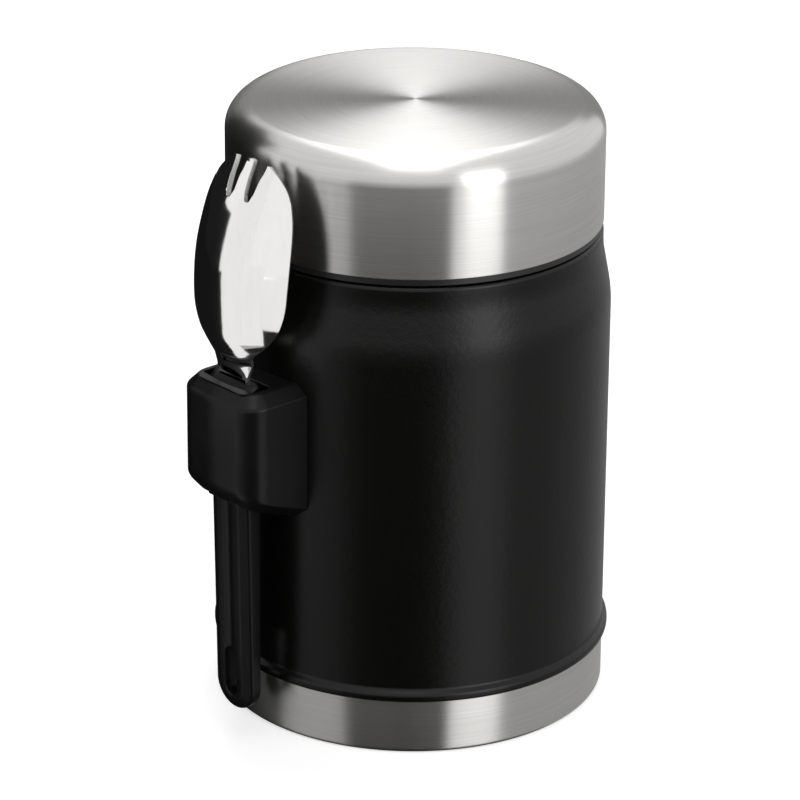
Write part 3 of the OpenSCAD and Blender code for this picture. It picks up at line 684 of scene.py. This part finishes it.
def sheet_row(k):
    """Half width, distance out at the edge, bulge, height and the slots' sides of one row."""
    if k < 0:
        sides = tuple(share * TANG_HALF for share in BELOW_SLOT)
        return TANG_HALF, TANG_OUT, 0.0, NECK_Z - TANG_LEN, sides
    up, wide, lean, bulge = head_rows[k]
    half = TANG_HALF if k == 0 else wide * HEAD_HALF
    if k < slot_from:
        sides = tuple(share * half for share in BELOW_SLOT)
    else:
        sides = tuple(share * HEAD_HALF for share in tines[k - slot_from])
    return half, TANG_OUT - lean * HEAD_LEAN, bulge * HEAD_BULGE, NECK_Z + up * HEAD_H, sides


def sheet_out(k, x, up):
    """How far out the sheet lies at x, on row k or on the sheet's own slope below it."""
    half, out, bulge, z = sheet_row(k)[:4]
    while up < 0 and sheet_row(k - 1)[3] > z + up:
        k -= 1
    if up < 0:
        high, low = sheet_row(k), sheet_row(k - 1)
        share = (z + up - low[3]) / (high[3] - low[3])
        half, out, bulge = (low[i] + (high[i] - low[i]) * share for i in range(3))
    return out + bulge * (1 - (abs(x) / half) ** BULGE_POWER)


def sheet_columns(half, sides):
    """The columns of a row from left to right."""
    inner, outer = sides
    right = [inner * i / MID_CELLS for i in range(MID_CELLS)]
    right += [inner + (outer - inner) * i / SLOT_CELLS for i in range(SLOT_CELLS)]
    right += [outer + (half - outer) * i / SIDE_CELLS for i in range(SIDE_CELLS + 1)]
    return [-x for x in reversed(right[1:])] + right


def lift(k, cells_out, z, slot_wide):
    """How far a vertex of row k is moved up: the middle tine's tip, and the slots' round floors."""
    if (slot_foot - FLOOR_REACH < z <= slot_foot
            and MID_CELLS < cells_out < MID_CELLS + SLOT_CELLS):
        across = 2 * (cells_out - MID_CELLS) / SLOT_CELLS - 1
        up = -slot_wide / 2 * math.sqrt(1 - across * across)
        return up * (1 - (slot_foot - z) / FLOOR_REACH)
    if k == len(head_rows) - 1 and cells_out <= MID_CELLS:
        return TIP_UP * (1 - TIP_ROUND * (cells_out / MID_CELLS) ** 2)
    return 0.0


bm = bmesh.new()
grid = []
slot_foot = sheet_row(slot_from)[3]
for k in range(-1, len(head_rows)):
    half, _, _, z, sides = sheet_row(k)
    row = []
    for j, x in enumerate(sheet_columns(half, sides)):
        up = lift(k, abs(j - middle), z, sides[1] - sides[0])
        row.append(bm.verts.new((x, -sheet_out(k, x, up), z + up)))
    grid.append(row)
for k in range(len(grid) - 1):
    for j in range(2 * middle):
        in_slot = MID_CELLS <= abs(j - middle + 0.5) - 0.5 < MID_CELLS + SLOT_CELLS
        if k - 1 >= slot_from and in_slot:
            continue
        bm.faces.new((grid[k][j], grid[k][j + 1], grid[k + 1][j + 1], grid[k + 1][j]))
bmesh.ops.delete(bm, geom=[v for v in bm.verts if not v.link_faces], context="VERTS")
head = piece_from("polished_spork", bm, [POLISHED, CUT], "spork", ["spork_head"],
                  60)
thick = head.modifiers.new("sheet", "SOLIDIFY")
thick.thickness = SHEET_T * MM
thick.offset = -1
thick.material_offset_rim = 1
soft = head.modifiers.new("edge", "BEVEL")
soft.width = SHEET_EDGE * MM
soft.segments = 3
soft.limit_method = "ANGLE"
soft.angle_limit = math.radians(50)
weigh(head)


# --- Camera: metres, millimetres of lens and degrees ---

CAMERA_AT = (0.665305, -0.607507, 0.444719)
CAMERA_YAW, CAMERA_DOWN, CAMERA_ROLL = 47.790, 22.667, 0.4853

camera_data = bpy.data.cameras.new("photo_camera")
camera_data.sensor_width = 36.0
camera_data.lens = 189.479
camera_data.clip_start = 0.01
camera_data.clip_end = 30.0
camera = linked("photo_camera", camera_data)
camera.matrix_world = (Matrix.Translation(CAMERA_AT)
                       @ Matrix.Rotation(math.radians(CAMERA_YAW), 4, "Z")
                       @ Matrix.Rotation(math.radians(90.0 - CAMERA_DOWN), 4, "X")
                       @ Matrix.Rotation(math.radians(CAMERA_ROLL), 4, "Z"))
bpy.context.scene.camera = camera


# --- Studio: metres, and degrees from the camera's side towards its right ---

STUDIO_TURN = math.radians(47.6)
STUDIO_R = 0.8
CARD_STEP = 4


def around(azimuth, distance, height):
    """A place round the jar's axis."""
    turn = STUDIO_TURN + math.radians(azimuth)
    return Vector((distance * math.sin(turn), -distance * math.cos(turn), height))


def emptied(owner):
    """The node tree of a material or a world, with nothing in it."""
    owner.use_nodes = True
    owner.node_tree.nodes.clear()
    return owner.node_tree


def glow(name, level):
    """A plain emitting surface at a grey level."""
    material = bpy.data.materials.new(name)
    tree = emptied(material)
    emission = add(tree, "ShaderNodeEmission", {"Color": WHITE, "Strength": level})
    add(tree, "ShaderNodeOutputMaterial", {"Surface": emission.outputs[0]})
    return material


def reflector(name, azimuths, level, heights, distances=(STUDIO_R, STUDIO_R), centre=(0, 0)):
    """A curved studio card that is seen only in reflections, from its lower to its upper edge."""
    first, last = azimuths
    steps = max(2, round((last - first) / CARD_STEP))
    bm = bmesh.new()
    columns = []
    for i in range(steps + 1):
        azimuth = first + (last - first) * i / steps
        columns.append([bm.verts.new(around(azimuth, d, z) + Vector((*centre, 0)))
                        for d, z in zip(distances, heights)])
    for a, b in zip(columns, columns[1:]):
        bm.faces.new((a[0], b[0], b[1], a[1]))
    mesh = mesh_from(name, bm)
    mesh.materials.append(glow(name, level))
    card = linked(name, mesh)
    for ray in ("camera", "diffuse", "shadow", "transmission", "volume_scatter"):
        setattr(card, "visible_" + ray, False)


def lamp(name, azimuth, distance, height, size, watts, aim=0.07):
    """A soft rectangular lamp that looks at a height on the jar's axis."""
    data = bpy.data.lights.new(name, "AREA")
    data.shape = "RECTANGLE"
    data.size, data.size_y = size
    data.energy = watts
    light = linked(name, data)
    light.location = around(azimuth, distance, height)
    look = Vector((0, 0, aim)) - light.location
    light.rotation_euler = look.to_track_quat("-Z", "Y").to_euler()
    light.visible_camera = False
    return light


# Cards that the turned steel sees, those that hang below the table first:
# their azimuths, grey level, and the heights of their edges
SKIRT_LOW, SKIRT_HIGH, SKIRT_RAISED = -0.9, 0.0, 0.06
ROUND_CARDS = {
    "skirt_black_left": ((-180, -80), 0.008, (SKIRT_LOW, SKIRT_HIGH)),
    "skirt_grey_left": ((-80, -38), 0.45, (SKIRT_LOW, SKIRT_HIGH)),
    "skirt_dark_front": ((-38, -9), 0.02, (SKIRT_LOW, SKIRT_RAISED)),
    "skirt_gap_front": ((-9, 2), 0.004, (SKIRT_LOW, SKIRT_RAISED)),
    "skirt_dark_right": ((2, 22), 0.03, (SKIRT_LOW, SKIRT_RAISED)),
    "skirt_strip_front": ((24, 53), 1.20, (SKIRT_LOW, SKIRT_HIGH)),
    "skirt_grey_right": ((53, 110), 0.42, (SKIRT_LOW, SKIRT_HIGH)),
    "skirt_pale_right": ((110, 180), 0.42, (SKIRT_LOW, SKIRT_HIGH)),
    "card_black_left": ((-152, -92), 0.012, (SKIRT_HIGH, 0.22)),
    "card_black_high": ((-152, -105), 0.012, (0.22, 0.75)),
    "card_dark_back": ((-172, -152), 0.03, (SKIRT_HIGH, 0.24)),
    "card_grey_back": ((150, 212), 0.29, (SKIRT_HIGH, 0.50))}
for name, (azimuths, level, heights) in ROUND_CARDS.items():
    reflector(name, azimuths, level, heights)

# Pale cards that the spork sees, round a centre of their own
SPORK_AT = (0, -0.057)
SPORK_CARD_LEVEL = 0.95
reflector("card_near_left", (-92, -50), SPORK_CARD_LEVEL,
          heights=(0.052, 0.20), distances=(0.065, 0.065), centre=SPORK_AT)
reflector("card_near_front", (-75, -1.5), SPORK_CARD_LEVEL,
          heights=(0.080, 0.1185), distances=(0.020, 0.020), centre=SPORK_AT)
reflector("card_under_left", (-92, -66), SPORK_CARD_LEVEL,
          heights=(0.002, 0.002), distances=(0.03, 0.16), centre=SPORK_AT)
reflector("card_below", (-180, 180), 0.02,
          heights=(SKIRT_LOW, SKIRT_LOW), distances=(0.01, 0.81))

lamp("overhead", azimuth=180, distance=0.36, height=1.35, size=(0.60, 2.4), watts=10.2)
lamp("strip", azimuth=40.5, distance=1.1, height=0.32, size=(0.46, 0.86), watts=3.6)
# This lamp lights the spork only
spork_lamp = lamp("spork_fill", azimuth=-7.5, distance=0.69, height=-0.088, size=(0.80, 0.308),
                  watts=0.735, aim=-0.088)
spork_only = bpy.data.collections.new("lit_by_spork_fill")
spork_only.objects.link(head)
spork_lamp.light_linking.receiver_collection = spork_only

# A pale floor that the camera sees and reflections don't
FLOOR_HALF, FLOOR_CELLS = 4.0, 8
FLOOR_COLOUR, FLOOR_LIFT = (0.80, 0.80, 0.80, 1), 0.55
floor_bm = bmesh.new()
bmesh.ops.create_grid(floor_bm, x_segments=FLOOR_CELLS, y_segments=FLOOR_CELLS, size=FLOOR_HALF)
floor = linked("floor", mesh_from("floor", floor_bm))
floor.visible_glossy = False
floor_material = bpy.data.materials.new("pale_floor")
tree = emptied(floor_material)
seen = add(tree, "ShaderNodeLightPath").outputs["Is Camera Ray"]
matt = add(tree, "ShaderNodeBsdfDiffuse", {"Color": FLOOR_COLOUR})
strength = math_node(tree, "MULTIPLY", seen, FLOOR_LIFT)
glimmer = add(tree, "ShaderNodeEmission", {"Color": WHITE, "Strength": strength})
both = add(tree, "ShaderNodeAddShader", {0: matt.outputs[0], 1: glimmer.outputs[0]})
add(tree, "ShaderNodeOutputMaterial", {"Surface": both.outputs[0]})
floor.data.materials.append(floor_material)

# A world that lights softly and is white where it is seen, mirrored or looked through
WORLD_LIGHT, WORLD_SEEN = 0.45, 1.0
world = bpy.data.worlds.new("studio")
bpy.context.scene.world = world
tree = emptied(world)
path = add(tree, "ShaderNodeLightPath")
shown = math_node(tree, "MAXIMUM", path.outputs["Is Glossy Ray"],
                  path.outputs["Is Transmission Ray"])
shown = math_node(tree, "MAXIMUM", path.outputs["Is Camera Ray"], shown)
plain = add(tree, "ShaderNodeBackground", {"Color": WHITE, "Strength": WORLD_LIGHT})
white = add(tree, "ShaderNodeBackground", {"Color": WHITE, "Strength": WORLD_SEEN})
mixed = add(tree, "ShaderNodeMixShader", {0: shown, 1: plain.outputs[0], 2: white.outputs[0]})
add(tree, "ShaderNodeOutputWorld", {"Surface": mixed.outputs[0]})

bpy.context.scene.view_settings.view_transform = "Standard"
